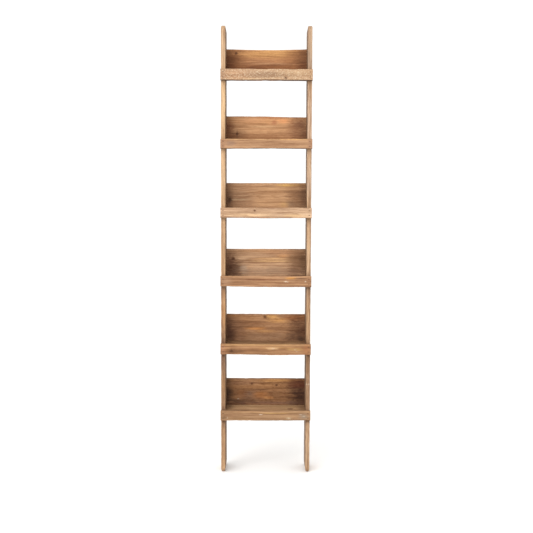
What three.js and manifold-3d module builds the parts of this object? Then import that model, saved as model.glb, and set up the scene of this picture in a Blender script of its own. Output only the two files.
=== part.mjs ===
// A narrow ladder shelf of reclaimed boards: two rails on edge, with six shallow trays between them.
// A tray is a floor board, a taller back board and a lip nailed across the rails' front edges.
// Millimetres, +Z up, +X to the right and +Y towards the wall. The origin is on the ground, midway
// between the rails and midway from the lips' faces to the rails' back edges.
import * as THREE from "three";
import { mergeVertices } from "three/addons/utils/BufferGeometryUtils.js";
import Module from "manifold-3d";

const wasm = await Module();
wasm.setup();

// Overall size, over the lips and the rails
const WIDTH = 342.9; // 13 1/2 in
const DEPTH = 120.65; // 4 3/4 in
const HEIGHT = 1695.45; // 66 3/4 in

// Board thicknesses
const RAIL_THICKNESS = 17;
const LIP_THICKNESS = 18; // 3/4 in stock, which leaves 4 in for the rails
const FLOOR_THICKNESS = 16;
const BACK_THICKNESS = 15;
const LIP_OVERHANG = 1; // past each rail's outer face
const BOARD_GAP = 0.3; // between boards that are butted together

// The trays, from the top one down
const TRAY_PITCH = 256;
const LOWEST_LEVEL_Z = 211; // level that the lowest tray is set out from
const FLOOR_UNDERSIDE = 16; // above the tray's level
const BACK_TOP = 136; // above the tray's level
// Lower and upper edge of each lip, above its tray's level: reclaimed strips differ a little
const LIP_EDGES = [[-1, 40], [2.5, 39], [0, 39], [-3.5, 38], [-5, 35], [-4, 34]];
const TRAY_COUNT = LIP_EDGES.length;

// Worn edges
const RAIL_FRONT_CORNER = 20; // radius of a rail's front corners, at the top and at the foot
const RAIL_BACK_CORNER = 4;
const RAIL_ARRIS = 1.5;
const BOARD_ARRIS = 2;
const ARC_SEGMENTS = 4;

// Finish nails, with their heads flush
const NAIL_LENGTH = 38; // 1 1/2 in
const NAIL_RADIUS = 1.1;
const NAIL_HEAD_RADIUS = 2.2;
const NAIL_HEAD_THICKNESS = 1.2;
const NAIL_POINT = 4;
const NAIL_SIDES = 8;
const BORE_CLEARANCE = 0.3;
const BACK_NAIL_Z = 76; // above the tray's level

// Faces that the boards are set out from
const FRONT_Y = -DEPTH / 2;
const RAIL_FRONT_Y = FRONT_Y + LIP_THICKNESS;
const RAIL_BACK_Y = DEPTH / 2;
const BACK_FRONT_Y = RAIL_BACK_Y - BACK_THICKNESS;
const RAIL_OUTER_X = WIDTH / 2 - LIP_OVERHANG;
const RAIL_CENTRE_X = RAIL_OUTER_X - RAIL_THICKNESS / 2;
const BOARD_LENGTH = 2 * (RAIL_OUTER_X - RAIL_THICKNESS - BOARD_GAP);

// Old softwood, darker on the boards that see less light and handling
const RAIL_COLOUR = 0xcfa57d;
const FLOOR_COLOUR = 0xa67d5b;
const LIP_COLOURS = [0xd1ab88, 0xc3966f, 0xdab18f, 0xb68965, 0xb38661, 0xb38c68];
const BACK_COLOURS = [0xc18b5e, 0xc6926a, 0xc1946e, 0xbc9371, 0xa17654, 0x916645];
const NAIL_COLOUR = 0x6f665c;

const wood = (color) => new THREE.MeshStandardMaterial({ color, roughness: 0.8, metalness: 0 });
const nailSteel = new THREE.MeshStandardMaterial({ color: NAIL_COLOUR, roughness: 0.5, metalness: 1 });

// A closed geometry as a manifold-3d solid, and a solid as a geometry again.
function solidOf(geometry) {
  const bare = geometry.clone();
  bare.deleteAttribute("normal");
  bare.deleteAttribute("uv");
  const merged = mergeVertices(bare, 1e-4);
  const vertProperties = merged.attributes.position.array;
  const triVerts = Uint32Array.from(merged.index.array);
  return new wasm.Manifold(new wasm.Mesh({ numProp: 3, vertProperties, triVerts }));
}

function geometryOf(solid) {
  const mesh = solid.getMesh();
  const geometry = new THREE.BufferGeometry();
  geometry.setAttribute("position", new THREE.BufferAttribute(mesh.vertProperties, 3));
  geometry.setIndex(new THREE.BufferAttribute(mesh.triVerts, 1));
  geometry.computeVertexNormals();
  return geometry;
}

// A rectangle with its middle at the origin and its corners rounded: bottom left, bottom right,
// top right, top left.
function roundedRectangle(width, height, [r0, r1, r2, r3]) {
  const [x, y] = [width / 2, height / 2];
  const shape = new THREE.Shape();
  shape.absarc(-x + r0, -y + r0, r0, Math.PI, 1.5 * Math.PI);
  shape.absarc(x - r1, -y + r1, r1, 1.5 * Math.PI, 2 * Math.PI);
  shape.absarc(x - r2, y - r2, r2, 0, 0.5 * Math.PI);
  shape.absarc(-x + r3, y - r3, r3, 0.5 * Math.PI, Math.PI);
  return shape;
}

// A board whose outline lies in the Y-Z plane, run along X with its middle at the origin. An arris
// rounds the outline's edges at both faces.
const [X, Y, Z] = [0, 1, 2].map((i) => new THREE.Vector3().setComponent(i, 1));
function board(length, outline, arris = 0) {
  const geometry = new THREE.ExtrudeGeometry(outline, {
    depth: length - 2 * arris,
    curveSegments: ARC_SEGMENTS,
    bevelEnabled: arris > 0,
    bevelThickness: arris,
    bevelSize: arris,
    bevelOffset: -arris,
    bevelSegments: 2,
  });
  geometry.translate(0, 0, arris - length / 2);
  return geometry.applyMatrix4(new THREE.Matrix4().makeBasis(Y, Z, X));
}

// A nail driven along -Y from the origin, where the face of its head is, and the hole it makes.
const turned = (profile) =>
  new THREE.LatheGeometry(profile.map((point) => new THREE.Vector2(...point)), NAIL_SIDES);
const nailGeometry = turned([
  [0, -NAIL_LENGTH],
  [NAIL_RADIUS, -NAIL_LENGTH + NAIL_POINT],
  [NAIL_RADIUS, -NAIL_HEAD_THICKNESS],
  [NAIL_HEAD_RADIUS, -NAIL_HEAD_THICKNESS],
  [NAIL_HEAD_RADIUS, 0],
  [0, 0],
]);
const boreGeometry = turned([
  [0, -NAIL_LENGTH - BORE_CLEARANCE],
  [NAIL_RADIUS + BORE_CLEARANCE, -NAIL_LENGTH - BORE_CLEARANCE],
  [NAIL_RADIUS + BORE_CLEARANCE, -NAIL_HEAD_THICKNESS - BORE_CLEARANCE],
  [NAIL_HEAD_RADIUS + BORE_CLEARANCE, -NAIL_HEAD_THICKNESS - BORE_CLEARANCE],
  [NAIL_HEAD_RADIUS + BORE_CLEARANCE, 1],
  [0, 1],
]);

// One nail of each joint of a tray, placed from the tray's level at its middle: the left and the
// right end of the lip into the rails' front edges, and each rail into the floor and the back.
function trayNails(lipMiddleZ) {
  const floorZ = FLOOR_UNDERSIDE + FLOOR_THICKNESS / 2;
  const backY = BACK_FRONT_Y + BACK_THICKNESS / 2;
  return [["left", -1], ["right", 1]].flatMap(([side, sign]) => [
    { name: `lip_nail_${side}`, at: [sign * RAIL_CENTRE_X, FRONT_Y, lipMiddleZ], along: [0, 1, 0] },
    { name: `floor_nail_${side}`, at: [sign * RAIL_OUTER_X, 0, floorZ], along: [-sign, 0, 0] },
    { name: `back_nail_${side}`, at: [sign * RAIL_OUTER_X, backY, BACK_NAIL_Z], along: [-sign, 0, 0] },
  ]);
}

const DRIVEN = new THREE.Vector3(0, -1, 0);
function turnedTo(along) {
  return new THREE.Quaternion().setFromUnitVectors(DRIVEN, new THREE.Vector3(...along));
}

// A board's mesh, with the holes of the nails that pass through it.
function boredBoard(name, material, geometry, position, nails) {
  let solid = solidOf(geometry);
  for (const nail of nails) {
    const bore = boreGeometry.clone().applyQuaternion(turnedTo(nail.along));
    const at = new THREE.Vector3(...nail.at).sub(position);
    solid = solid.subtract(solidOf(bore.translate(at.x, at.y, at.z)));
  }
  const mesh = new THREE.Mesh(geometryOf(solid), material);
  mesh.name = name;
  mesh.position.copy(position);
  return mesh;
}

function nailMesh(name, nail) {
  const mesh = new THREE.Mesh(nailGeometry, nailSteel);
  mesh.name = name;
  mesh.position.set(...nail.at);
  mesh.quaternion.copy(turnedTo(nail.along));
  return mesh;
}

// A board across the shelf, between its lowest front corner and its highest back one.
function crossBoard(name, colour, length, [y0, z0], [y1, z1], nails) {
  const outline = roundedRectangle(y1 - y0, z1 - z0, Array(4).fill(BOARD_ARRIS));
  const middle = new THREE.Vector3(0, (y0 + y1) / 2, (z0 + z1) / 2);
  return boredBoard(name, wood(colour), board(length, outline), middle, nails);
}

// A tray, with its origin on its level, midway between the rails. The floor butts against the back
// board, and the lip covers the floor's front edge and hangs a little below it.
function tray(number, [lipBottom, lipTop], nails) {
  const name = `tray_${number}`;
  const holding = (piece) => nails.filter((nail) => nail.name.startsWith(piece));
  const floor = crossBoard(`${name}_floor`, FLOOR_COLOUR, BOARD_LENGTH,
    [RAIL_FRONT_Y + BOARD_GAP, FLOOR_UNDERSIDE],
    [BACK_FRONT_Y - BOARD_GAP, FLOOR_UNDERSIDE + FLOOR_THICKNESS], holding("floor"));
  const back = crossBoard(`${name}_back`, BACK_COLOURS[number - 1], BOARD_LENGTH,
    [BACK_FRONT_Y, FLOOR_UNDERSIDE], [RAIL_BACK_Y, BACK_TOP], holding("back"));
  const lip = crossBoard(`${name}_lip`, LIP_COLOURS[number - 1], WIDTH,
    [FRONT_Y, lipBottom], [RAIL_FRONT_Y - BOARD_GAP, lipTop], holding("lip"));
  const group = new THREE.Group();
  group.add(floor, back, lip, ...nails.map((nail) => nailMesh(`${name}_${nail.name}`, nail)));
  return group;
}

// A rail: a long board on edge, with rounded front corners at its top and its foot.
function rail(side, nails) {
  const corners = [RAIL_FRONT_CORNER, RAIL_BACK_CORNER, RAIL_BACK_CORNER, RAIL_FRONT_CORNER];
  const outline = roundedRectangle(RAIL_BACK_Y - RAIL_FRONT_Y, HEIGHT, corners);
  const x = side === "left" ? -RAIL_CENTRE_X : RAIL_CENTRE_X;
  const middle = new THREE.Vector3(x, (RAIL_FRONT_Y + RAIL_BACK_Y) / 2, HEIGHT / 2);
  const geometry = board(RAIL_THICKNESS, outline, RAIL_ARRIS);
  return boredBoard(`rail_${side}`, wood(RAIL_COLOUR), geometry, middle, nails);
}

const group = new THREE.Group();
const railNails = { left: [], right: [] };
LIP_EDGES.forEach(([lipBottom, lipTop], index) => {
  const z = LOWEST_LEVEL_Z + (TRAY_COUNT - 1 - index) * TRAY_PITCH;
  const nails = trayNails((lipBottom + lipTop) / 2);
  const level = tray(index + 1, [lipBottom, lipTop], nails);
  level.position.z = z;
  group.add(level);
  for (const side of ["left", "right"]) {
    for (const nail of nails.filter((n) => n.name.endsWith(side))) {
      railNails[side].push({ ...nail, at: [nail.at[0], nail.at[1], nail.at[2] + z] });
    }
  }
});
group.add(rail("left", railNails.left), rail("right", railNails.right));

export default group;
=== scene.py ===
"""A narrow ladder shelf of reclaimed softwood boards, standing in a white studio.

The sections follow the shelf as it is put together: the studio, the two rails, then the trays'
floor boards, back boards and lips, and last the nails. Lengths are in millimetres until they
reach Blender, which has metres."""

import math

import bpy
import numpy as np
from mathutils import Euler, Matrix, Vector


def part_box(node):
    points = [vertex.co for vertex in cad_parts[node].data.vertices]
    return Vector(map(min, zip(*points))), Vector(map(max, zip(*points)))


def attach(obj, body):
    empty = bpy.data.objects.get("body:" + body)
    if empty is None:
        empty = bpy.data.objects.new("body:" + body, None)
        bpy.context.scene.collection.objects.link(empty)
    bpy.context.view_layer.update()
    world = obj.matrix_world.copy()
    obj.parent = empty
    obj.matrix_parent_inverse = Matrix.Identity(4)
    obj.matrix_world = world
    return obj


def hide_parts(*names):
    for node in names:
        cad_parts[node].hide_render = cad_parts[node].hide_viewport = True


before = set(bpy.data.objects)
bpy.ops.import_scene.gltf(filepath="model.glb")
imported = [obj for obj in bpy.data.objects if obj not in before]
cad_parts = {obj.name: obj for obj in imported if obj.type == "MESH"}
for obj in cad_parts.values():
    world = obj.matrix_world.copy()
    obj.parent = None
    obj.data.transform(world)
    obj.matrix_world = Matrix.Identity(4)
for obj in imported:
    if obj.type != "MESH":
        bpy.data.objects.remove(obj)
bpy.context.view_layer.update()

# --- The studio -------------------------------------------------------------------------------
# A seamless floor of pale paper under an even white surround, with one large soft box far off,
# above and to the left of the camera. The camera stands a little above the middle of the shelf
# and looks slightly down.

scene = bpy.context.scene
scene.view_settings.view_transform = "Standard"


def linear(code):
    """A colour given as sRGB hex, such as "c8a06e", as linear red, green, blue and alpha: each
    channel c is c / 12.92 up to 0.04045, and ((c + 0.055) / 1.055) to the power 2.4 above it."""
    channels = np.array([int(code[i : i + 2], 16) for i in (0, 2, 4)]) / 255
    bent = np.where(channels > 0.04045, ((channels + 0.055) / 1.055) ** 2.4, channels / 12.92)
    return (*bent.tolist(), 1.0)


CAMERA_PLACE = Vector((-0.0014, -2.9, 0.9856))
CAMERA_TURN = [math.radians(degrees) for degrees in (-0.07, 90 - 3.79, 0.19)]  # yaw, pitch, roll
camera = bpy.data.objects.new("camera", bpy.data.cameras.new("camera"))
camera.data.sensor_width = 36  # millimetres
camera.data.lens = 51.06  # millimetres
scene.collection.objects.link(camera)
yaw, pitch, roll = (Matrix.Rotation(turn, 4, axis) for turn, axis in zip(CAMERA_TURN, "ZXZ"))
camera.matrix_world = Matrix.Translation(CAMERA_PLACE) @ yaw @ pitch @ roll
scene.camera = camera

world = bpy.data.worlds.new("white surround")
world.use_nodes = True
world.node_tree.nodes["Background"].inputs["Color"].default_value = (1, 1, 1, 1)
world.node_tree.nodes["Background"].inputs["Strength"].default_value = 1.08
scene.world = world

SOFT_BOX_PLACE = Vector((-2.2, -4.4, 4.2))
SOFT_BOX_AIM = Vector((0, 0, 0.8))
soft_box = bpy.data.lights.new("soft box", "AREA")
soft_box.size = 6.5  # metres square
soft_box.energy = 272  # watts
lamp = bpy.data.objects.new("soft box", soft_box)
lamp.location = SOFT_BOX_PLACE
lamp.rotation_euler = (SOFT_BOX_AIM - SOFT_BOX_PLACE).to_track_quat("-Z", "Y").to_euler()
scene.collection.objects.link(lamp)

FLOOR_HALF = 6.0  # metres from the middle of the floor to each of its edges
corners = FLOOR_HALF * np.array([(-1, -1, 0), (1, -1, 0), (1, 1, 0), (-1, 1, 0)])
sweep = bpy.data.meshes.new("studio_floor")
sweep.from_pydata(corners.tolist(), [], [(0, 1, 2, 3)])
# Background paper off a roll: uncoated, so it is quite matt, and a trace warmer than white.
paper = bpy.data.materials.new("matt studio paper")
paper.use_nodes = True
matt = paper.node_tree.nodes["Principled BSDF"]
matt.inputs["Base Color"].default_value = linear("f8f7f5")
matt.inputs["Roughness"].default_value = 0.9
sweep.materials.append(paper)
floor = bpy.data.objects.new("studio_floor", sweep)
scene.collection.objects.link(floor)

# --- The rails --------------------------------------------------------------------------------
# Two long boards on edge carry everything. They are old softwood, sawn, lightly sanded and left
# with a dull wax, so the front edges are pale and the broad faces greyer. The front corners are
# rounded at the head and the foot, and years of handling have eased every other edge.

MM = 0.001
LATTICE = 32  # cells along each side of the noise's lattice, which then repeats


def noise(places, spacing, seed):
    """Smooth noise from -1 to 1 at places in space: random values on a lattice with this spacing,
    joined along each axis by the fade 3t^2 - 2t^3."""
    table = np.random.default_rng(seed).uniform(-1, 1, (LATTICE, LATTICE, LATTICE))
    cell, t = np.divmod(np.asarray(places) / spacing, 1)
    cell = cell.astype(int)
    t = t * t * (3 - 2 * t)
    total = 0
    for corner in np.ndindex(2, 2, 2):
        i, j, k = np.moveaxis((cell + corner) % LATTICE, -1, 0)
        total = total + table[i, j, k] * np.prod(np.where(corner, t, 1 - t), axis=-1)
    return total


def places_along(half, finest, widest):
    """Places from -half to half, in steps that start finest at both ends, grow by 0.35 of that
    each time and stop growing at the widest. No place lies closer to the middle than 0.4 of the
    finest step, but for the middle itself."""
    steps = np.minimum(finest * (1 + 0.35 * np.arange(int(half / finest))), widest)
    inward = np.cumsum(steps)
    inward = np.r_[0, inward[inward < half - 0.4 * finest], half]
    return np.r_[-half + inward, (half - inward)[-2::-1]]


def inset(from_end, radius, length):
    """How far a face lies in from its line, this far from the end, where a quarter of an ellipse
    rounds the corner, radius deep and length long: r - r sqrt(1 - (1 - d / l)^2), and nothing
    beyond the length."""
    left = np.clip(1 - from_end / length, 0, 1)
    return radius * (1 - np.sqrt(1 - left**2))


def mesh_of(name, points, material):
    """An object made of closed surfaces, each a grid of points, rows by columns, with the columns
    joined into rings and the first and last rows closed by a point each. Points are in
    millimetres, surface by surface."""
    count, rows, columns = points.shape[:3]
    poles = points[:, [0, -1]].mean(axis=2)
    index = np.arange(count * rows * columns).reshape(count, rows, columns)
    after = np.roll(index, -1, axis=2)
    quads = np.stack([index[:, :-1], after[:, :-1], after[:, 1:], index[:, 1:]], axis=-1)
    pole = (count * rows * columns + np.arange(2 * count)).reshape(count, 2, 1) + 0 * index[:, :1]
    first = np.stack([pole[:, 0], after[:, 0], index[:, 0]], axis=-1)
    last = np.stack([pole[:, 1], index[:, -1], after[:, -1]], axis=-1)
    corners = np.vstack([points.reshape(-1, 3), poles.reshape(-1, 3)]) * MM
    faces = [part.reshape(-1, part.shape[-1]).tolist() for part in (quads, first, last)]
    mesh = bpy.data.meshes.new(name)
    mesh.from_pydata(corners.tolist(), [], sum(faces, []))
    mesh.shade_smooth()
    mesh.materials.append(material)
    piece = bpy.data.objects.new(name, mesh)
    scene.collection.objects.link(piece)
    return piece


DENTS_EVERY = 14  # millimetres of length to each dent in the faces and each chip off the corners
FULL_ROUND = 0.293  # 1 - 1 / sqrt(2), how far the middle of a rounded corner turns from a face


def board_points(half, widest, head, foot, arris, edges, hollow, seed, knots):
    """The surface of a worn board in its own frame: length, width and thickness are the three
    axes s, p and q, and half is half of each. A ring of points round a rectangle, closer together
    at its corners, is carried along the length. Its sides come in at the two ends by a quarter of
    an ellipse, its corners are drawn on to circles whose radius wanders along the board, and then
    the surface is lowered by hollows, ridges, dents and chips, which are all bells
    exp(-(distance / size)^2). Also gives which way each point faces and how worn it is."""
    rng = np.random.default_rng(seed)
    along = places_along(half[0], 0.3, widest)
    across = places_along(half[1], 0.5, widest)
    through = places_along(half[2], 0.5, widest)
    low_side, high_side = -np.ones(len(through) - 1), np.ones(len(through) - 1)
    p = np.r_[across[:-1] / half[1], high_side, across[:0:-1] / half[1], low_side]
    low_face, high_face = -np.ones(len(across) - 1), np.ones(len(across) - 1)
    q = np.r_[low_face, through[:-1] / half[2], high_face, through[:0:-1] / half[2]]

    # The flat ends are rings that shrink to the middle, closer together at the rim.
    shrink = np.sqrt(1 - np.linspace(1, 0, 9)[1:-1] ** 2)
    rim = np.full(len(shrink), half[0])
    s = np.r_[-rim, along, rim][:, None]
    scale = np.r_[shrink, np.ones(len(along)), shrink[::-1]][:, None]
    to_end = half[0] - np.abs(s)

    def drawn_in(side):
        """The inset of one side: 0 and 1 are the two edges, 2 the broad faces."""
        return np.where(s > 0, inset(to_end, *head[side]), inset(to_end, *foot[side]))

    low_p = -half[1] + drawn_in(0) + edges[0](s)
    high_p = half[1] - drawn_in(1) + edges[1](s)
    half_q = half[2] - drawn_in(2)
    centre_p, half_p = (low_p + high_p) / 2, (high_p - low_p) / 2
    p, q = p * half_p, q * half_q

    # Each of the four long corners has its own radius, which wanders slowly and, by half as much,
    # quickly.
    lengths = np.broadcast_to(s, p.shape)
    corner = np.stack([lengths, 50 * (2.0 * (p > 0) + (q > 0)), 0 * p], axis=-1)
    wander = noise(corner, (70, 50, 50), seed) + 0.5 * noise(corner, (9, 50, 50), seed + 1)
    largest = 0.9 * np.minimum(half_p, half_q)
    radius = np.minimum(arris * np.clip(1 + 0.5 * wander, 0.3, 2.5), largest)
    core_p = np.clip(p, radius - half_p, half_p - radius)
    core_q = np.clip(q, radius - half_q, half_q - radius)
    out_p, out_q = p - core_p, q - core_q
    reach = np.maximum(np.hypot(out_p, out_q) / radius, 1e-6)
    p = (core_p + out_p / reach) * scale + centre_p
    q = (core_q + out_q / reach) * scale
    points = np.stack([lengths, p, q], axis=-1)

    along_board = np.gradient(points, axis=0)
    round_ring = np.roll(points, -1, axis=1) - np.roll(points, 1, axis=1)
    outward = np.cross(round_ring, along_board)
    outward /= np.maximum(np.linalg.norm(outward, axis=-1, keepdims=True), 1e-9)
    outward = np.where(scale[..., None] < 1, np.sign(s)[..., None] * [1.0, 0, 0], outward)

    # Hollows and ridges, then dents 2.5 to 7 mm across and up to 0.45 mm deep in the faces, chips
    # 3 to 14 mm long off the corners, and a groove round each knot, whose heart stands up.
    sunk = hollow * (1 + noise(points, (90, 22, 22), seed + 2))
    sunk += 0.4 * hollow * (1 + noise(points, (60, 5, 5), seed + 3))
    count = int(2 * half[0] / DENTS_EVERY)
    dents = rng.uniform([-half[0], -half[1], 2.5, 0.1], [half[0], half[1], 7, 0.45], (count, 4))
    for (place_s, place_p, size, deep), face in zip(dents, rng.choice([-1, 1], count)):
        away = (points - [place_s, place_p, face * half[2]]) / [1.6 * size, size, size]
        sunk += deep * np.exp(-(away**2).sum(-1))
    chipped = np.zeros(p.shape)
    chips = rng.uniform([-half[0], 3, 0.4], [half[0], 14, 1.3], (count, 3))
    for (place_s, size, deep), side, face in zip(chips, *rng.choice([-1, 1], (2, count))):
        away = (points - [place_s, side * half[1], face * half[2]]) / [size, 4.0, 4.0]
        chipped += deep**1.5 * np.exp(-(away**2).sum(-1))
    for place_s, place_p, size in knots:
        away = np.hypot((points[..., 0] - place_s) / 1.3, points[..., 1] - place_p) / size
        sunk += 0.4 * np.exp(-9 * (away - 1) ** 2) - 0.15 * np.exp(-3 * away**2)
    fade = 0.15 + 0.85 * np.clip(to_end / 12, 0, 1)  # a board keeps its thickness at its joints
    points = points - (fade * sunk + chipped)[..., None] * outward
    edge = (1 - np.abs(outward).max(-1)) / FULL_ROUND
    return points, outward, np.clip(0.75 * edge + 0.5 * chipped, 0, 1)


def straight(s):
    """An edge that keeps to its line."""
    return 0 * s


# How an end is rounded at a board's low edge, at its high edge and on its faces: how deep, and
# over what length.
SQUARE_END = ((0.7, 0.7),) * 3


def board(
    name, node, turn, material, seed, widest=3.0, head=SQUARE_END, foot=SQUARE_END, arris=1.8,
    edges=(straight, straight), hollow=0.22, knots=(), shaded_side=(0, 0, 0), longer=0.0,
):
    """A finished board in the place of a CAD node. turn takes the board's own axes (length,
    width, thickness) to the shelf's, arris is the radius its corners are worn to, edges say how
    its low and high edges leave their lines, a knot is its place along the length and the width
    and its size, the argument after the knots is the board's own direction whose faces are
    painted darker, as painted shade, and longer is how much each end is pressed into its neighbour."""
    low, high = (np.array(corner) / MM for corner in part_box(node))
    axes = np.array(Euler(turn).to_matrix())
    half = np.abs(axes.T @ (high - low)) / 2 + [longer, 0, 0]
    points, outward, worn = board_points(
        half, widest, head, foot, arris, edges, hollow, seed, knots
    )
    piece = mesh_of(name, (points @ axes.T + (low + high) / 2)[None], material)
    # How far each point faces the shaded side, whose faces are painted darker as painted shade.
    side_shade = np.clip(outward @ np.array(shaded_side, float), 0, 1) ** 2
    for title, values in (("worn", worn), ("end_grain", outward[..., 0] ** 2), ("shaded_side", side_shade)):
        layer = piece.data.attributes.new(title, "FLOAT", "POINT")
        poles = [values[0].mean(), values[-1].mean()]
        layer.data.foreach_set("value", np.r_[values.ravel(), poles].astype(np.float32))
    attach(piece, "root")
    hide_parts(node)


def add(tree, kind, *values, out=0, **settings):
    """Add a node of this kind, with its settings, and give one of its outputs. Values go to its
    inputs in order, and a pair goes to the input of that name or number. A value that is another
    node's output is linked."""
    node = tree.nodes.new("ShaderNode" + kind)
    for key, value in settings.items():
        setattr(node, key, value)
    for socket, value in enumerate(values):
        if isinstance(value, tuple) and len(value) == 2:
            socket, value = value
        if isinstance(value, bpy.types.NodeSocket):
            tree.links.new(value, node.inputs[socket])
        else:
            node.inputs[socket].default_value = value
    return node.outputs[out] if node.outputs else None


HALO = (5.0, 2.6, 2.6)  # how far rust bleeds from a nail, along the board, across and through
DRIFT = 16  # how far slow bends carry the grain to one side
BLADE_RADIUS = 312.5  # of the circular saw that cut the boards
TOOTH_STEP = 5.5  # how far a board moved from one mark of the saw to the next


def old_softwood(
    name, node, turn, tone, pith, seed, knots=(), stains=(), flecks=(), contrast=0.55, ring=3.4,
    kerf=0.0, mealy=0.0, streaky=1.0, mottled=0.25, nails=(),
):
    """Reclaimed pine or fir, sawn, lightly sanded and waxed: a warm, uneven brown with a dull
    surface, where only the rubbed edges catch any light. Growth rings, ring wide, are cylinders
    about a pith line that lies at pith = (width, thickness) from the board's middle and runs a
    little askew, so they make arches on the broad faces, lines on the edges and arcs on the ends.
    A knot pushes the rings aside. A stain is its middle and its reach, each along the length and
    the width, its colour and its strength, and a fleck of old paint is the same without a colour.
    Contrast, kerf, mealy, streaky and mottled say how strongly the rings, the saw's marks, lime,
    long streaks and small blotches show. Lengths are in millimetres in the board's own frame."""
    low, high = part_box(node)
    material = bpy.data.materials.new(name)
    material.use_nodes = True
    tree = material.node_tree
    tree.nodes.clear()
    shift = np.random.default_rng(seed).uniform(-50, 50, 3)
    smooth = {"interpolation_type": "SMOOTHSTEP"}
    mix = {"data_type": "RGBA", "out": 2}

    def uneven(spacing, detail=2.0, roughness=0.5, out=0):
        """Soft noise with patches of this size along the length, width and thickness."""
        scale = [1 / size for size in spacing]
        scaled = add(tree, "VectorMath", place, scale, shift, operation="MULTIPLY_ADD")
        return add(
            tree, "TexNoise", scaled, ("Scale", 1.0), ("Detail", detail),
            ("Roughness", roughness), out=out,
        )

    def distance(centre, reach):
        """How far a place is from a centre, measured along each axis in reaches. An axis whose
        reach is 0 doesn't count."""
        scale = [1 / size if size else 0 for size in reach]
        offset = add(tree, "VectorMath", place, centre, operation="SUBTRACT")
        scaled = add(tree, "VectorMath", offset, scale, operation="MULTIPLY")
        return add(tree, "VectorMath", scaled, operation="LENGTH", out=1)

    def stained(colour, dye, where, none_at, full_at, strength, blend="MIX"):
        """The colour with a dye laid over it, from nothing where the value is none_at to its
        strength where the value is full_at."""
        amount = add(tree, "MapRange", where, none_at, full_at, 0.0, strength, **smooth)
        return add(tree, "Mix", amount, (6, colour), (7, dye), blend_type=blend, **mix)

    coordinates = add(tree, "TexCoord", out="Object")
    place = add(
        tree, "Mapping", coordinates, ("Location", (low + high) / 2), ("Rotation", turn),
        ("Scale", (MM, MM, MM)), vector_type="TEXTURE",
    )

    # The rings, pushed aside by slow bends in the grain and by the knots.
    bends, ripples = uneven((300, 60, 60), out=1), uneven((45, 9, 9), out=1)
    log = add(tree, "VectorMath", bends, (0, DRIFT, DRIFT), place, operation="MULTIPLY_ADD")
    log = add(tree, "VectorMath", ripples, (0, 1.6, 1.6), log, operation="MULTIPLY_ADD")
    log = add(
        tree, "Mapping", log, ("Location", (0, pith[0] + DRIFT / 2, pith[1] + DRIFT / 2)),
        ("Rotation", (0, math.radians(0.8), math.radians(1.6))), ("Scale", (1e6, 1, 1)),
        vector_type="TEXTURE",
    )
    radius = add(tree, "VectorMath", log, operation="LENGTH", out=1)
    grit = uneven((4, 4, 4))
    knot_edges = []
    for knot_s, knot_p, size in knots:
        away = distance((knot_s, knot_p, 0), (1.25 * size, size, 0))
        edge = add(tree, "Math", away, 0.3, operation="SUBTRACT")
        edge = add(tree, "Math", grit, 0.6, edge, operation="MULTIPLY_ADD")
        knot_edges.append((edge, size))
        push = add(tree, "MapRange", away, 4.0, 0.6, **smooth)
        radius = add(tree, "Math", push, 2.6 * ring, radius, operation="MULTIPLY_ADD")
    slowly = add(tree, "Math", radius, 6 * ring, operation="DIVIDE")
    widths = add(
        tree, "TexNoise", ("W", slowly), ("Scale", 1.0), ("Detail", 1.0), noise_dimensions="1D"
    )
    years = add(tree, "Math", radius, ring, operation="DIVIDE")
    years = add(tree, "Math", widths, 5.0, years, operation="MULTIPLY_ADD")
    season = add(tree, "Math", years, operation="FRACT")
    summer = add(tree, "MapRange", season, 0.25, 0.88, **smooth)
    winter = add(tree, "MapRange", season, 1.0, 0.9, **smooth)
    late = add(tree, "Math", summer, winter, operation="MULTIPLY")

    # Bands of paler and darker wood, and stains whose edges run along the grain. The streaks
    # that are paler than the wood come from a gain above one, which no hex colour can give.
    dark, pale = (
        (*(min(channel * gain, 0.9) for channel, gain in zip(linear(tone), gains)), 1)
        for gains in ((0.72, 0.66, 0.61), (1.16, 1.18, 1.20))
    )
    lift = (1.16, 1.15, 1.12, 1)
    bands = uneven((330, 14, 24), 3.0)
    streaks = uneven((130, 4.2, 7), 3.0, 0.6)
    colour = stained(dark, pale, bands, 0.3, 0.68, 1.0)
    ragged, broad = uneven((24, 2.4, 6), 4.0, 0.8), uneven((70, 24, 30))
    ragged = add(tree, "Math", ragged, 3.4, broad, operation="MULTIPLY_ADD")
    for centre_s, centre_p, reach_s, reach_p, dye, strength in stains:
        away = distance((centre_s, centre_p, 0), (reach_s, reach_p, 0))
        away = add(tree, "Math", away, ragged, operation="ADD")
        colour = stained(colour, linear(dye), away, 4.0, 2.4, strength)
    colour = stained(colour, linear("d1c5bc"), streaks, 0.54, 0.34, 0.75 * streaky, "MULTIPLY")
    colour = stained(colour, lift, streaks, 0.52, 0.68, 0.9 * streaky, "MULTIPLY")

    mottle = uneven((16, 4.5, 6), 3.0, 0.6)
    colour = stained(colour, linear("cdbfb4"), mottle, 0.52, 0.3, mottled, "MULTIPLY")
    colour = stained(colour, pale, mottle, 0.52, 0.74, 0.4 * mottled)

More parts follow.
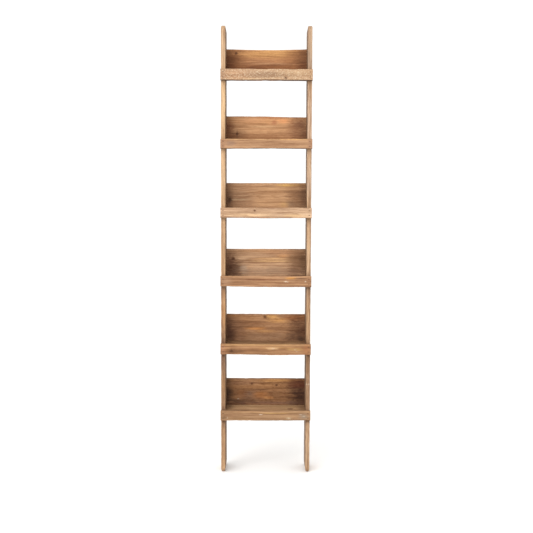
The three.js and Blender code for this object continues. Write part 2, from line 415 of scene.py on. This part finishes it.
    # The grain over them: late wood, fine fibres and short dark pores. Real fibres and pores are
    # a few hundredths of a millimetre wide, and these are drawn coarser, so that they show.
    fibres = uneven((55, 0.9, 0.9), 3.0, 0.65)
    pores = uneven((16, 0.45, 0.45), 1.0)
    depth = add(tree, "MapRange", bands, 0.2, 0.8, 1.25 * contrast, 0.7 * contrast, **smooth)
    depth = add(tree, "Math", late, depth, operation="MULTIPLY")
    colour = add(
        tree, "Mix", depth, (6, colour), (7, linear("cbbaac")), blend_type="MULTIPLY", **mix
    )
    colour = stained(colour, linear("d7cdc4"), fibres, 0.62, 0.3, 0.8, "MULTIPLY")
    colour = stained(colour, linear("c8bcb1"), pores, 0.64, 0.78, 0.55, "MULTIPLY")
    height = add(tree, "Math", fibres, 0.22, operation="MULTIPLY")
    height = add(tree, "Math", late, 0.10, height, operation="MULTIPLY_ADD")
    pits = add(tree, "MapRange", pores, 0.62, 0.8, **smooth)
    height = add(tree, "Math", pits, -0.12, height, operation="MULTIPLY_ADD")

    for edge, size in knot_edges:
        rings = add(tree, "Math", edge, size / 1.1, operation="MULTIPLY")
        rings = add(tree, "Math", rings, 1.0, operation="PINGPONG")
        rings = add(tree, "Math", rings, 0.8, operation="MULTIPLY")
        heart = add(tree, "Mix", rings, (6, linear("68442a")), (7, linear("3c2414")), **mix)
        colour = stained(colour, linear("8a5d3d"), edge, 2.2, 1.0, 0.5, "MULTIPLY")
        colour = stained(colour, heart, edge, 1.1, 0.85, 0.8)
        shrunk = add(tree, "MapRange", edge, 1.15, 1.0, **smooth)
        height = add(tree, "Math", shrunk, -0.2, height, operation="MULTIPLY_ADD")

    # Marks of the saw that cut the board, where they show: arcs s + p^2 / (2 blade radius) across
    # the grain, a tooth's step apart and uneven, because the board was pushed by hand.
    if kerf:
        s_axis, p_axis = (add(tree, "SeparateXYZ", place, out=axis) for axis in (0, 1))
        arc = add(tree, "Math", p_axis, p_axis, operation="MULTIPLY")
        arc = add(tree, "Math", arc, 1 / (2 * BLADE_RADIUS), s_axis, operation="MULTIPLY_ADD")
        pushed = uneven((30, 14, 14), 3.0)
        arc = add(tree, "Math", pushed, 9.0, arc, operation="MULTIPLY_ADD")
        arc = add(tree, "Math", arc, 2 * math.pi / TOOTH_STEP, operation="MULTIPLY")
        marks = add(tree, "Math", arc, operation="SINE")
        marks = add(tree, "MapRange", marks, 0.3, 1.0, **smooth)
        left = add(tree, "MapRange", uneven((26, 7, 30), 3.0), 0.45, 0.7, **smooth)
        marks = add(tree, "Math", marks, left, operation="MULTIPLY")
        amount = add(tree, "Math", marks, kerf, operation="MULTIPLY")
        colour = add(
            tree, "Mix", amount, (6, colour), (7, linear("cebfb5")), blend_type="MULTIPLY", **mix
        )
        height = add(tree, "Math", marks, -0.25 * kerf, height, operation="MULTIPLY_ADD")

    # Lime and dirt left in the surface, as a fine speckle, and flecks of old paint.
    if mealy:
        speckle = uneven((4.5, 3.2, 3.2), 3.0, 0.6)
        colour = stained(colour, linear("c9b598"), speckle, 0.5, 0.68, mealy)
        colour = stained(colour, linear("84664e"), speckle, 0.46, 0.3, mealy)
        height = add(tree, "Math", speckle, 0.3, height, operation="MULTIPLY_ADD")
    for centre_s, centre_p, reach_s, reach_p, strength in flecks:
        away = distance((centre_s, centre_p, 0), (reach_s, reach_p, 0))
        crumbs = uneven((3.5, 1.8, 1.8), 3.0)
        away = add(tree, "Math", crumbs, 2.6, away, operation="MULTIPLY_ADD")
        colour = stained(colour, linear("dccbb5"), away, 2.1, 1.3, strength)

    # Rust has bled into the wood round each nail.
    if nails:
        away = distance(nails[0], HALO)
        for nail in nails[1:]:
            away = add(tree, "Math", away, distance(nail, HALO), operation="MINIMUM")
        away = add(tree, "Math", grit, 0.8, away, operation="MULTIPLY_ADD")
        colour = stained(colour, linear("958176"), away, 1.5, 0.7, 0.55, "MULTIPLY")

    # Handling polishes the corners pale and end grain drinks the wax and goes dark. The faces in
    # shade, which are the undersides, the rails' faces towards the trays and the backs' rear faces,
    # are painted darker: painted shade.
    worn, end_grain, shaded_side = (
        add(tree, "Attribute", attribute_name=title, out="Fac")
        for title in ("worn", "end_grain", "shaded_side")
    )
    handled = add(tree, "MapRange", uneven((30, 8, 8)), 0.3, 0.7, 0.1, 0.7, **smooth)
    rubbed = add(tree, "Math", worn, handled, operation="MULTIPLY")
    colour = add(tree, "Mix", rubbed, (6, colour), (7, pale), **mix)
    soaked = add(tree, "Math", end_grain, 0.8, operation="MULTIPLY")
    # The second dye darkens the faces in shade: painted shade.
    for amount, dye in ((soaked, linear("c8bcaf")), (shaded_side, linear("73655d"))):
        colour = add(tree, "Mix", amount, (6, colour), (7, dye), blend_type="MULTIPLY", **mix)

    # Wax on raw wood: rough all over, a little less so where it is rubbed, and with less gloss
    # than a varnish at wood's usual index of 1.5.
    roughness = add(tree, "Math", fibres, 0.16, 0.66, operation="MULTIPLY_ADD")
    roughness = add(tree, "Math", rubbed, -0.12, roughness, operation="MULTIPLY_ADD")
    bump = add(tree, "Bump", ("Strength", 1.0), ("Distance", MM), ("Height", height))
    shader = add(
        tree, "BsdfPrincipled", ("Base Color", colour), ("Roughness", roughness),
        ("Normal", bump), ("IOR", 1.5), ("Specular IOR Level", 0.25),
    )
    add(tree, "OutputMaterial", ("Surface", shader))
    return material


# A board's own axes are its length, width and thickness.
UPRIGHT_ALONG_Z = (0, -math.pi / 2, 0)  # length up, width towards the wall
STANDING_ALONG_X = (math.pi / 2, 0, 0)  # length to the right, width up
LYING_ALONG_X = (0, 0, 0)  # length to the right, width towards the wall

# Each joint has two nails, this far to each side of its middle (x, y, z).
SPREADS = {"lip": (0, 0, 9), "floor": (0, 26, 0), "back": (0, 0, 38)}
# The front corners are round and the back ones nearly square, and the tips have worn thin.
RAIL_HEAD = ((20, 20), (4, 4), (4.5, 9))
RAIL_FOOT = ((20, 20), (4, 4), (5.0, 20))
FRONT = -51  # a rail's front edge, across its width
RAILS = {
    "left": {
        "tone": "bb9975",
        "pith": (-30, 46),
        "stains": [
            (770, FRONT, 90, 40, "cdb191", 0.6),
            (560, FRONT, 80, 40, "d3b48b", 0.85),
            (268, FRONT, 90, 40, "cfb08b", 0.85),
            (20, FRONT, 60, 40, "c2a07b", 0.7),
            (-145, FRONT, 40, 40, "90725c", 0.8),
            (-235, FRONT, 70, 40, "ad8257", 0.8),
            (-400, FRONT, 90, 50, "81634d", 0.9),
            (-515, FRONT, 45, 40, "ab875f", 0.7),
            (-610, FRONT, 70, 50, "8b6c53", 0.85),
            (-760, FRONT, 70, 40, "ab8866", 0.8),
        ],
        "knots": [(-330, 10, 8), (430, -20, 6)],
    },
    "right": {
        "tone": "bd9d7d",
        "pith": (25, -50),
        "stains": [
            (260, FRONT, 20, 16, "94776a", 0.6),
            (715, FRONT, 34, 16, "948075", 0.6),
            (760, -46, 90, 40, "b49d86", 0.7),
            (500, FRONT, 90, 40, "caaf98", 0.6),
            (280, FRONT, 60, 40, "d3baa0", 0.6),
            (10, FRONT, 60, 40, "cbac8a", 0.7),
            (-140, FRONT, 40, 40, "9f8065", 0.8),
            (-260, FRONT, 60, 40, "b3916d", 0.7),
            (-430, FRONT, 80, 50, "836347", 0.9),
            (-560, FRONT, 70, 50, "8f7054", 0.8),
            (-760, FRONT, 90, 40, "ba9d7e", 0.8),
        ],
        "knots": [(150, 15, 9)],
        "flecks": [(-503, -49, 5, 5, 0.7)],
    },
}
# Painted shadow: a dark band on the rails just under each lip, where the lip shades them, stronger
# under the lower lips.
rail_middle = (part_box("rail_left")[0].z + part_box("rail_left")[1].z) / 2
lip_shadow_stains = [
    ((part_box(f"tray_{tray}_lip")[0].z - rail_middle) / MM - 3, FRONT, 7, 10, "6b4c36", strength)
    for tray, strength in enumerate((0.15, 0.15, 0.2, 0.5, 0.8, 0.8), 1)
]
for number, (side, look) in enumerate(RAILS.items()):
    node = f"rail_{side}"
    outer = 1 if side == "left" else -1  # which of the board's faces looks away from the trays
    low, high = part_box(node)
    half_thickness = (high.x - low.x) / 2 / MM
    nails = []
    for tray in range(1, 7):
        for kind in ("floor", "back"):
            first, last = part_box(f"tray_{tray}_{kind}_nail_{side}")
            _, p, s = ((first + last) / 2 - (low + high) / 2) / MM
            _, spread_p, spread_s = SPREADS[kind]
            nails += [
                (s + k * spread_s, p + k * spread_p, outer * half_thickness) for k in (-1, 1)
            ]
    # The rails' stains include the painted shadow under each lip.
    wood = old_softwood(
        f"waxed old softwood, {side} rail", node, UPRIGHT_ALONG_Z, look["tone"], look["pith"],
        seed=11 + number, knots=look["knots"], stains=look["stains"] + lip_shadow_stains, kerf=0.12,
        nails=nails, flecks=look.get("flecks", ()),
    )
    # The rail's face towards the trays is painted darker: painted shade.
    board(
        f"{side}_rail_board", node, UPRIGHT_ALONG_Z, wood, 11 + number, widest=4.5,
        head=RAIL_HEAD, foot=RAIL_FOOT, arris=2.0, hollow=0.16, knots=look["knots"],
        shaded_side=(0, 0, -0.7 * outer),
    )

# --- The floor boards -------------------------------------------------------------------------
# Each tray's floor is a short board laid flat between the rails, nailed through them into its
# ends. Little of it shows, and dust has dulled it. Its ends are painted darker in the corners,
# as painted shade, and so is its underside.

PRESSED = 0.6  # how far the ends of floors and backs are pressed into the rails, so no light shows
FLOOR_TONE = "c7a37b"
# Painted shade: each floor is darkened at both ends, in the corners where the rails and the back
# shade it.
FLOOR_CORNER_SHADE = [(150, 0, 22, 60, "74543a", 0.6), (-150, 0, 20, 60, "74543a", 0.6)]  # in the corners
FLOOR_MARKS = {  # stains of the two lowest floors, which show over their lips
    5: [(-60, 0, 150, 60, "7a5a3d", 0.7), (90, 0, 110, 60, "8a6848", 0.6)],
    6: [(-30, 34, 110, 6, "d8bd92", 0.7), (80, 10, 90, 26, "cfac80", 0.5)],
}
for tray in range(1, 7):
    node = f"tray_{tray}_floor"
    knots = [(-90 + 31 * tray, 18 - 6 * tray, 6)]
    wood = old_softwood(
        f"waxed old softwood, floor {tray}", node, LYING_ALONG_X, FLOOR_TONE,
        (12 - 5 * tray, -38 + 4 * tray), seed=20 + tray, kerf=0.2, knots=knots,
        stains=FLOOR_MARKS.get(tray, []) + FLOOR_CORNER_SHADE,
    )
    # The floor's underside is painted darker: painted shade.
    board(
        f"tray_{tray}_floor_board", node, LYING_ALONG_X, wood, 20 + tray, arris=1.5, knots=knots,
        shaded_side=(0, 0, -1), longer=PRESSED,
    )

# --- The back boards --------------------------------------------------------------------------
# A wide board on edge closes each tray behind. These are the most marked boards of the shelf:
# streaked by old stain, dark near the rails, partly from old stain and partly as painted shade
# where the rails shade the ends, and some with saw marks and knots. Their rear faces are
# painted darker, as painted shade.


def ripped(seed, amount, bulge=0.0, centre=0.0, reach=60.0):
    """How a hand-ripped edge leaves its line along a board: a slow wave with a quick one a
    quarter as high, and a bulge exp(-((s - centre) / reach)^2)."""

    def line(s):
        places = np.concatenate([s, 0 * s, 0 * s], axis=-1)[..., None, :]
        wave = noise(places, (110, 50, 50), seed) + 0.25 * noise(places, (18, 50, 50), seed + 1)
        return amount * wave + bulge * np.exp(-(((s - centre) / reach) ** 2))

    return line


# In each back, the stains that reach 60 across near either end are partly old stain and partly
# painted shade, where the rails shade the ends.
BACKS = {
    1: {
        "tone": "b48358",
        "contrast": 0.35,
        "streaky": 0.8,
        "stains": [
            (-150, -15, 30, 60, "553019", 0.9),
            (-128, 0, 32, 60, "7d4e2d", 0.6),
            (20, 40, 95, 13, "cf9e65", 0.85),
            (-30, 5, 70, 12, "b98b66", 0.6),
            (55, 2, 85, 4, "d9ae85", 0.8),
            (144, -4, 36, 60, "5e3b26", 0.85),
            (60, -24, 80, 6, "8d5f3b", 0.6),
            # Painted shadow of the lip along the foot of the visible face.
            (0, -17, 160, 5, "5d3920", 0.7),
            (150, 30, 20, 40, "855939", 0.6),
            (10, -10, 150, 15, "85532f", 0.7),
            (40, 50, 55, 7, "dfae71", 0.6),
            (100, 20, 30, 40, "9a6843", 0.5),
        ],
        "knots": [(-117, 42, 3.5)],
    },
    2: {
        "tone": "c99c72",
        "contrast": 0.25,
        "streaky": 0.45,
        "stains": [
            (-150, 0, 22, 60, "724226", 0.85),
            (-118, -22, 34, 26, "744e34", 0.75),
            (-113, -10, 3, 16, "5b4534", 0.6),
            (0, -28, 160, 4, "74472c", 0.6),
            # Painted shadow of the lip along the foot of the visible face.
            (0, 42, 110, 12, "d69e6c", 0.6),
            (66, 42, 22, 8, "edaa75", 0.9),
            (30, 53, 50, 3, "ba754b", 0.7),
            (30, 36, 9, 8, "ae6f4f", 0.7),
            (-22, 30, 30, 3, "a0744c", 0.7),
            (-10, 20, 44, 3, "e0b88c", 0.7),
            (128, 28, 16, 10, "684238", 0.8),
            (146, 0, 34, 60, "6f472e", 0.8),
            (150, -30, 22, 26, "6f4931", 0.7),
            (0, -50, 150, 5, "9f6c48", 0.6),
            (10, -22, 130, 12, "a1704a", 0.6),
            (110, 10, 24, 60, "986a4b", 0.6),
            (-60, 46, 40, 10, "d6a27a", 0.5),
        ],
        "knots": [(-113, -8, 3)],
    },
    3: {
        "tone": "c79e76",
        "contrast": 0.36,
        "streaky": 0.5,
        "stains": [
            (-152, 0, 24, 60, "5f3f2b", 0.85),
            (-100, 0, 50, 60, "9f7c61", 0.6),
            (-141, -5, 9, 9, "402b1e", 0.8),
            (-100, -4, 34, 2, "d0b794", 0.6),
            (88, 52, 38, 5, "e6bb71", 0.9),
            (10, 40, 50, 4, "d4ab7f", 0.5),
            (-5, 48, 45, 2.5, "916d50", 0.6),
            (120, 26, 42, 5, "715540", 0.7),
            (122, 8, 40, 3, "765944", 0.6),
            (100, -22, 24, 14, "9f8a73", 0.6),
            (70, -24, 14, 10, "d5aa73", 0.7),
            (148, 0, 30, 60, "61412d", 0.8),
            (-130, -45, 40, 6, "61432e", 0.6),
            (-70, 44, 50, 14, "a97f5e", 0.5),
            (108, 10, 22, 60, "98704f", 0.6),
        ],
        "knots": [(-141, -4, 3.5)],
    },
    4: {
        "tone": "c5a07d",
        "contrast": 0.45,
        "streaky": 0.8,
        "stains": [
            (-145, -6, 28, 60, "754e37", 0.8),
            (-122, -25, 38, 34, "593929", 0.8),
            (-85, -18, 12, 16, "d2bba3", 0.6),
            (30, 22, 65, 3, "ebc08b", 0.8),
            (30, 13, 60, 3, "f1c78f", 0.8),
            (68, 34, 22, 6, "e4ad77", 0.7),
            (0, 52, 130, 5, "bf8f63", 0.6),
            (125, 10, 34, 60, "7e5a3c", 0.7),
            (152, 0, 20, 60, "74553a", 0.8),
            (125, -46, 32, 4, "4a3326", 0.7),
            (20, -25, 90, 14, "bba185", 0.5),
            (108, -25, 26, 26, "85634b", 0.6),
            (20, -30, 110, 12, "a78972", 0.5),
            (60, 46, 50, 8, "c69772", 0.5),
        ],
        "knots": [(-128, 22, 4), (-140, -14, 3)],
    },
    5: {
        "tone": "b28761",
        "contrast": 0.5,
        "streaky": 1.0,
        "mottled": 0.5,
        "stains": [
            (-145, -5, 24, 60, "563424", 0.9),
            (-135, -18, 15, 24, "48281d", 0.85),
            (-108, 0, 32, 50, "876046", 0.6),
            (-125, 54, 28, 4, "a77241", 0.8),
            (-45, 22, 42, 7, "8a5e3d", 0.6),
            (-42, 4, 30, 5, "e29e59", 0.75),
            (-2, -8, 34, 5, "d7a061", 0.75),
            (26, 50, 26, 6, "ebb771", 0.8),
            (11, 42, 10, 6, "815a3c", 0.6),
            (50, 36, 34, 8, "dca766", 0.8),
            (122, 46, 40, 12, "a86c3e", 0.8),
            (138, -12, 40, 60, "563422", 0.85),
            (138, -38, 14, 10, "352017", 0.7),
            (0, -30, 95, 20, "a38265", 0.6),
            (-82, 48, 48, 12, "b3865d", 0.7),
            (-62, 14, 40, 8, "8f6746", 0.5),
            (105, -30, 26, 16, "6e4e39", 0.6),
        ],
        "knots": [(-3, 49, 4.5)],
        "flecks": [(150, -48, 5, 4, 0.5)],
    },
    6: {
        "tone": "9e7550",
        "contrast": 0.55,
        "streaky": 1.0,
        "mottled": 0.8,
        "stains": [
            (-152, 0, 18, 60, "412c1e", 0.9),
            (-110, -32, 46, 10, "4d372a", 0.8),
            (60, 53, 75, 5, "d19c5f", 0.85),
            (-30, 30, 110, 12, "ae7f52", 0.6),
            (-20, 16, 26, 2.5, "5c4030", 0.6),
            (-90, 2, 18, 12, "ab703b", 0.6),
            (-50, -2, 42, 14, "736158", 0.5),
            (-20, -6, 26, 15, "b37841", 0.7),
            (10, -16, 16, 4, "d89c5f", 0.7),
            (140, -4, 42, 60, "472b1d", 0.9),
            (135, 36, 32, 10, "693420", 0.7),
            (20, -36, 110, 6, "826658", 0.6),
            (-82, 46, 50, 12, "ad8361", 0.7),
            (-55, -26, 50, 12, "755541", 0.6),
            (120, 48, 40, 12, "6c3e26", 0.8),
            (30, 44, 50, 8, "ae8156", 0.5),
        ],
        "knots": [(-54, 40, 3), (43, 34, 3)],
        "flecks": [(151, -50, 3, 8, 0.5), (-107, -20, 7, 3.5, 0.7)],
        "kerf": 0.8,
    },
}
# Where a top edge is worn low: by how much, at what place and over what reach.
SAGS = {1: (-4.8, 5, 150), 2: (-3.0, 140, 130)}
for tray, look in BACKS.items():
    node = f"tray_{tray}_back"
    wood = old_softwood(
        f"waxed old softwood, back {tray}", node, STANDING_ALONG_X, look["tone"],
        (-25 + 11 * tray, 42 - 3 * tray), seed=30 + tray, knots=look["knots"],
        stains=look["stains"], flecks=look.get("flecks", ()), kerf=look.get("kerf", 0.12),
        contrast=look["contrast"], streaky=look["streaky"], mottled=look.get("mottled", 0.25),
    )
    # The back's rear face is painted darker: painted shade.
    board(
        f"tray_{tray}_back_board", node, STANDING_ALONG_X, wood, 30 + tray, knots=look["knots"],
        arris=1.6, shaded_side=(0, 0, -0.6), longer=PRESSED,
        edges=(straight, ripped(70 + tray, 0.45, *SAGS.get(tray, ()))),
    )

# --- The lips ---------------------------------------------------------------------------------
# A narrow strip crosses the front of each tray, nailed to the rails' front edges and to nothing
# else. The strips come from different old boards, so no two match in colour or in height, and
# their long edges wander where they were ripped by hand.

LIPS = {
    1: {
        "tone": "b29171",
        "mealy": 0.75,
        "contrast": 0.2,
        "streaky": 0.3,
        "knots": [(71, -13, 3.5)],
        "stains": [
            (-110, 0, 45, 30, "b38867", 0.6),
            (-20, 4, 60, 12, "a0856f", 0.35),
            (110, 8, 50, 8, "c3a37f", 0.7),
            (-60, -17, 30, 3, "cbab85", 0.7),
            (-162, 0, 9, 30, "a38065", 0.7),
            (162, 0, 9, 30, "b08a67", 0.6),
        ],
    },
    2: {
        "tone": "aa8463",
        "contrast": 0.3,
        "streaky": 0.5,
        "knots": [],
        "stains": [
            # These two pale lines along the top edge are partly wear and partly painted highlight,
            # where the rounded edge faces the light from above.
            (0, 18, 170, 3, "d0a877", 0.8),
            (90, 17, 50, 3, "ddae73", 0.8),
            (-135, 0, 18, 8, "8e7262", 0.6),
            (-163, 0, 8, 30, "a17b60", 0.7),
            (163, 0, 8, 30, "9f7960", 0.7),
            (20, -17, 150, 3, "97704e", 0.5),
        ],
    },
    3: {
        "tone": "c0a082",
        "knots": [(-43, 9, 2.5)],
        "stains": [
            (-60, -8, 75, 5, "dbba92", 0.7),
            (105, -10, 36, 6, "dfbe92", 0.8),
            (-20, 4, 120, 2, "a48262", 0.6),
            (60, -18, 120, 2, "af815b", 0.6),
            # Pale line along the top edge: partly wear, partly painted highlight where the rounded
            # edge faces the light from above.
            (0, 19, 170, 2, "d1ad8c", 0.6),
        ],
    },
    4: {
        "tone": "a8815f",
        "knots": [],
        "stains": [
            (-10, 8, 68, 2.5, "76462c", 0.8),
            (95, 13, 17, 4, "cf9651", 0.9),
            (128, 11, 26, 1.5, "503627", 0.7),
            # Pale line along the top edge: partly wear, partly painted highlight where the rounded
            # edge faces the light from above.
            (0, 18, 170, 2, "c39872", 0.6),
            (-150, 0, 18, 12, "b5957a", 0.5),
            (0, -8, 150, 3, "956b4d", 0.5),
        ],
        "flecks": [(76, 0, 12, 4, 0.75), (150, 1, 7, 3.5, 0.6)],
    },
    5: {
        "tone": "a37b57",
        "knots": [(-130, -6, 2.5)],
        "stains": [
            (-130, -6, 15, 9, "61422b", 0.8),
            (-95, -6, 15, 6, "6d4d34", 0.6),
            # Pale line along the top edge: partly wear, partly painted highlight where the rounded
            # edge faces the light from above.
            (-20, 17, 170, 3, "c59d6b", 0.7),
            (50, 6, 60, 3, "c59962", 0.6),
            (26, 4, 20, 4, "d9b589", 0.8),
            (112, 0, 24, 4, "caa46b", 0.7),
            (-164, 0, 9, 20, "ad8064", 0.6),
            (154, 0, 12, 20, "aa724a", 0.5),
            (0, -15, 150, 3, "825d3e", 0.6),
        ],
        "flecks": [(28, 3, 8, 2.5, 0.6), (112, -1, 7, 3, 0.35), (118, -8, 6, 2.5, 0.3)],
    },
    6: {
        "tone": "a2805f",
        "knots": [],
        "stains": [
            # Pale line along the top edge: partly wear, partly painted highlight where the rounded
            # edge faces the light from above.
            (0, 15, 170, 3, "b59069", 0.6),
            (40, 10, 50, 2, "c19b63", 0.7),
            (88, -8, 13, 4, "c1a983", 0.7),
            (145, -2, 15, 10, "8d8477", 0.6),
            (-155, -8, 12, 6, "6e5236", 0.6),
            (-100, -10, 50, 5, "91704a", 0.5),
        ],
        "flecks": [
            (-18, 5, 11, 3, 0.7),
            (90, -9, 13, 4, 0.35),
            (134, 6, 8, 3, 0.45),
            (146, -1, 9, 4, 0.4),
            (-146, -8, 5, 6, 0.3),
        ],
    },
}
# How far a lower edge bulges up, or down where that is negative, at what place and over what
# reach, and the same for an upper edge.
BULGES = {2: (1.2, 20, 90), 4: (2.2, -170, 100), 5: (-2.9, 25, 80), 6: (1.8, 125, 50)}
DIPS = {6: (-1.8, 5, 60)}
low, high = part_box("tray_1_lip_nail_right")
rail_centre = (low.x + high.x) / 2 / MM  # how far the nails are from the middle
for tray, look in LIPS.items():
    node = f"tray_{tray}_lip"
    front = (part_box(node)[1].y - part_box(node)[0].y) / 2 / MM
    wood = old_softwood(
        f"waxed old softwood, lip {tray}", node, STANDING_ALONG_X, look["tone"],
        (8 - 6 * tray, -34 + 5 * tray), seed=40 + tray, knots=look["knots"],
        stains=look["stains"], flecks=look.get("flecks", ()), mealy=look.get("mealy", 0.0),
        ring=2.6, contrast=look.get("contrast", 0.5), streaky=look.get("streaky", 1.0),
        nails=[(x * rail_centre, up * SPREADS["lip"][2], front) for x in (-1, 1) for up in (-1, 1)],
    )
    # The lip's underside is painted darker: painted shade.
    board(
        f"tray_{tray}_lip_board", node, STANDING_ALONG_X, wood, 40 + tray, widest=2.4,
        knots=look["knots"], shaded_side=(0, -1, 0),
        edges=(
            ripped(50 + tray, 0.6, *BULGES.get(tray, ())),
            ripped(60 + tray, 0.6, *DIPS.get(tray, ())),
        ),
    )

# --- The nails --------------------------------------------------------------------------------
# Two wire nails hold each end of each board: through the lips into the rails' front edges, and
# through the rails into the ends of the floors and the backs. Drawn steel wire with a stamped
# flat head, driven flush and gone brown with rust.

# Rusted wire still has grey steel between the brown: dull and pitted, with hardly a glint.
rust = bpy.data.materials.new("rusted drawn steel wire")
rust.use_nodes = True
tree = rust.node_tree
tree.nodes.clear()
PATCH = 0.8  # width of a patch of rust
coordinates = add(tree, "TexCoord", out="Object")
patches = add(tree, "TexNoise", coordinates, ("Scale", 1 / (PATCH * MM)), ("Detail", 4.0))
rusted = add(tree, "MapRange", patches, 0.38, 0.6, interpolation_type="SMOOTHSTEP")
brown = add(
    tree, "Mix", rusted, (6, linear("5b4a40")), (7, linear("6f4630")), out=2, data_type="RGBA"
)
bright = add(tree, "MapRange", rusted, 0.0, 1.0, 0.8, 0.0)
dull = add(tree, "MapRange", patches, 0.3, 0.7, 0.5, 0.85)
pits = add(tree, "Bump", ("Strength", 0.8), ("Distance", 0.15 * MM), ("Height", patches))
shader = add(
    tree, "BsdfPrincipled", ("Base Color", brown), ("Metallic", bright), ("Roughness", dull),
    ("Normal", pits),
)
add(tree, "OutputMaterial", ("Surface", shader))

HEAD_RADIUS = 1.4
HEAD_THICKNESS = 0.9
SHANK_RADIUS = 0.9
NAIL_LENGTH = 38
POINT_LENGTH = 3.5
NAIL_SIDES = 16


def nail_surface():
    """A nail along its own first axis, with its head at zero: a circle carried along the profile
    of a slightly domed head, a shank and a point, each row of it a place and a radius."""
    profile = np.array(
        [
            (0.0, 0.5 * HEAD_RADIUS),
            (0.08, 0.85 * HEAD_RADIUS),
            (0.25, 0.97 * HEAD_RADIUS),
            (0.45, HEAD_RADIUS),
            (0.8, 0.97 * HEAD_RADIUS),
            (HEAD_THICKNESS, 0.85 * HEAD_RADIUS),
            (HEAD_THICKNESS + 0.3, SHANK_RADIUS),
            (NAIL_LENGTH - POINT_LENGTH, SHANK_RADIUS),
            (NAIL_LENGTH - 0.3, 0.15 * SHANK_RADIUS),
        ]
    )
    turn = np.linspace(0, 2 * math.pi, NAIL_SIDES, endpoint=False)
    along, out = profile[:, :1], profile[:, 1:]
    return np.stack([along + 0 * turn, out * np.cos(turn), out * np.sin(turn)], axis=-1)


def drive(name, nodes, spread):
    """Two nails in the place of each CAD nail, this far to each side of it, as one piece. A CAD
    nail's longest side is the way it is driven, from its outer end inward."""
    surfaces = []
    for node in nodes:
        low, high = (np.array(corner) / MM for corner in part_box(node))
        way = np.zeros(3)
        axis = int(np.argmax(high - low))
        middle = (low + high) / 2
        way[axis] = -np.sign(middle[axis])
        side = np.cross(way, [0.0, 0.0, 1.0])
        axes = np.stack([way, side, np.cross(way, side)], axis=1)
        head = np.where(way > 0, low, np.where(way < 0, high, middle))
        surfaces += [nail_surface() @ axes.T + head + sign * np.array(spread) for sign in (-1, 1)]
    piece = mesh_of(name, np.array(surfaces), rust)
    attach(piece, "root")
    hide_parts(*nodes)


for tray in range(1, 7):
    for kind, spread in SPREADS.items():
        nodes = [f"tray_{tray}_{kind}_nail_{side}" for side in ("left", "right")]
        drive(f"tray_{tray}_{kind}_nails", nodes, spread)
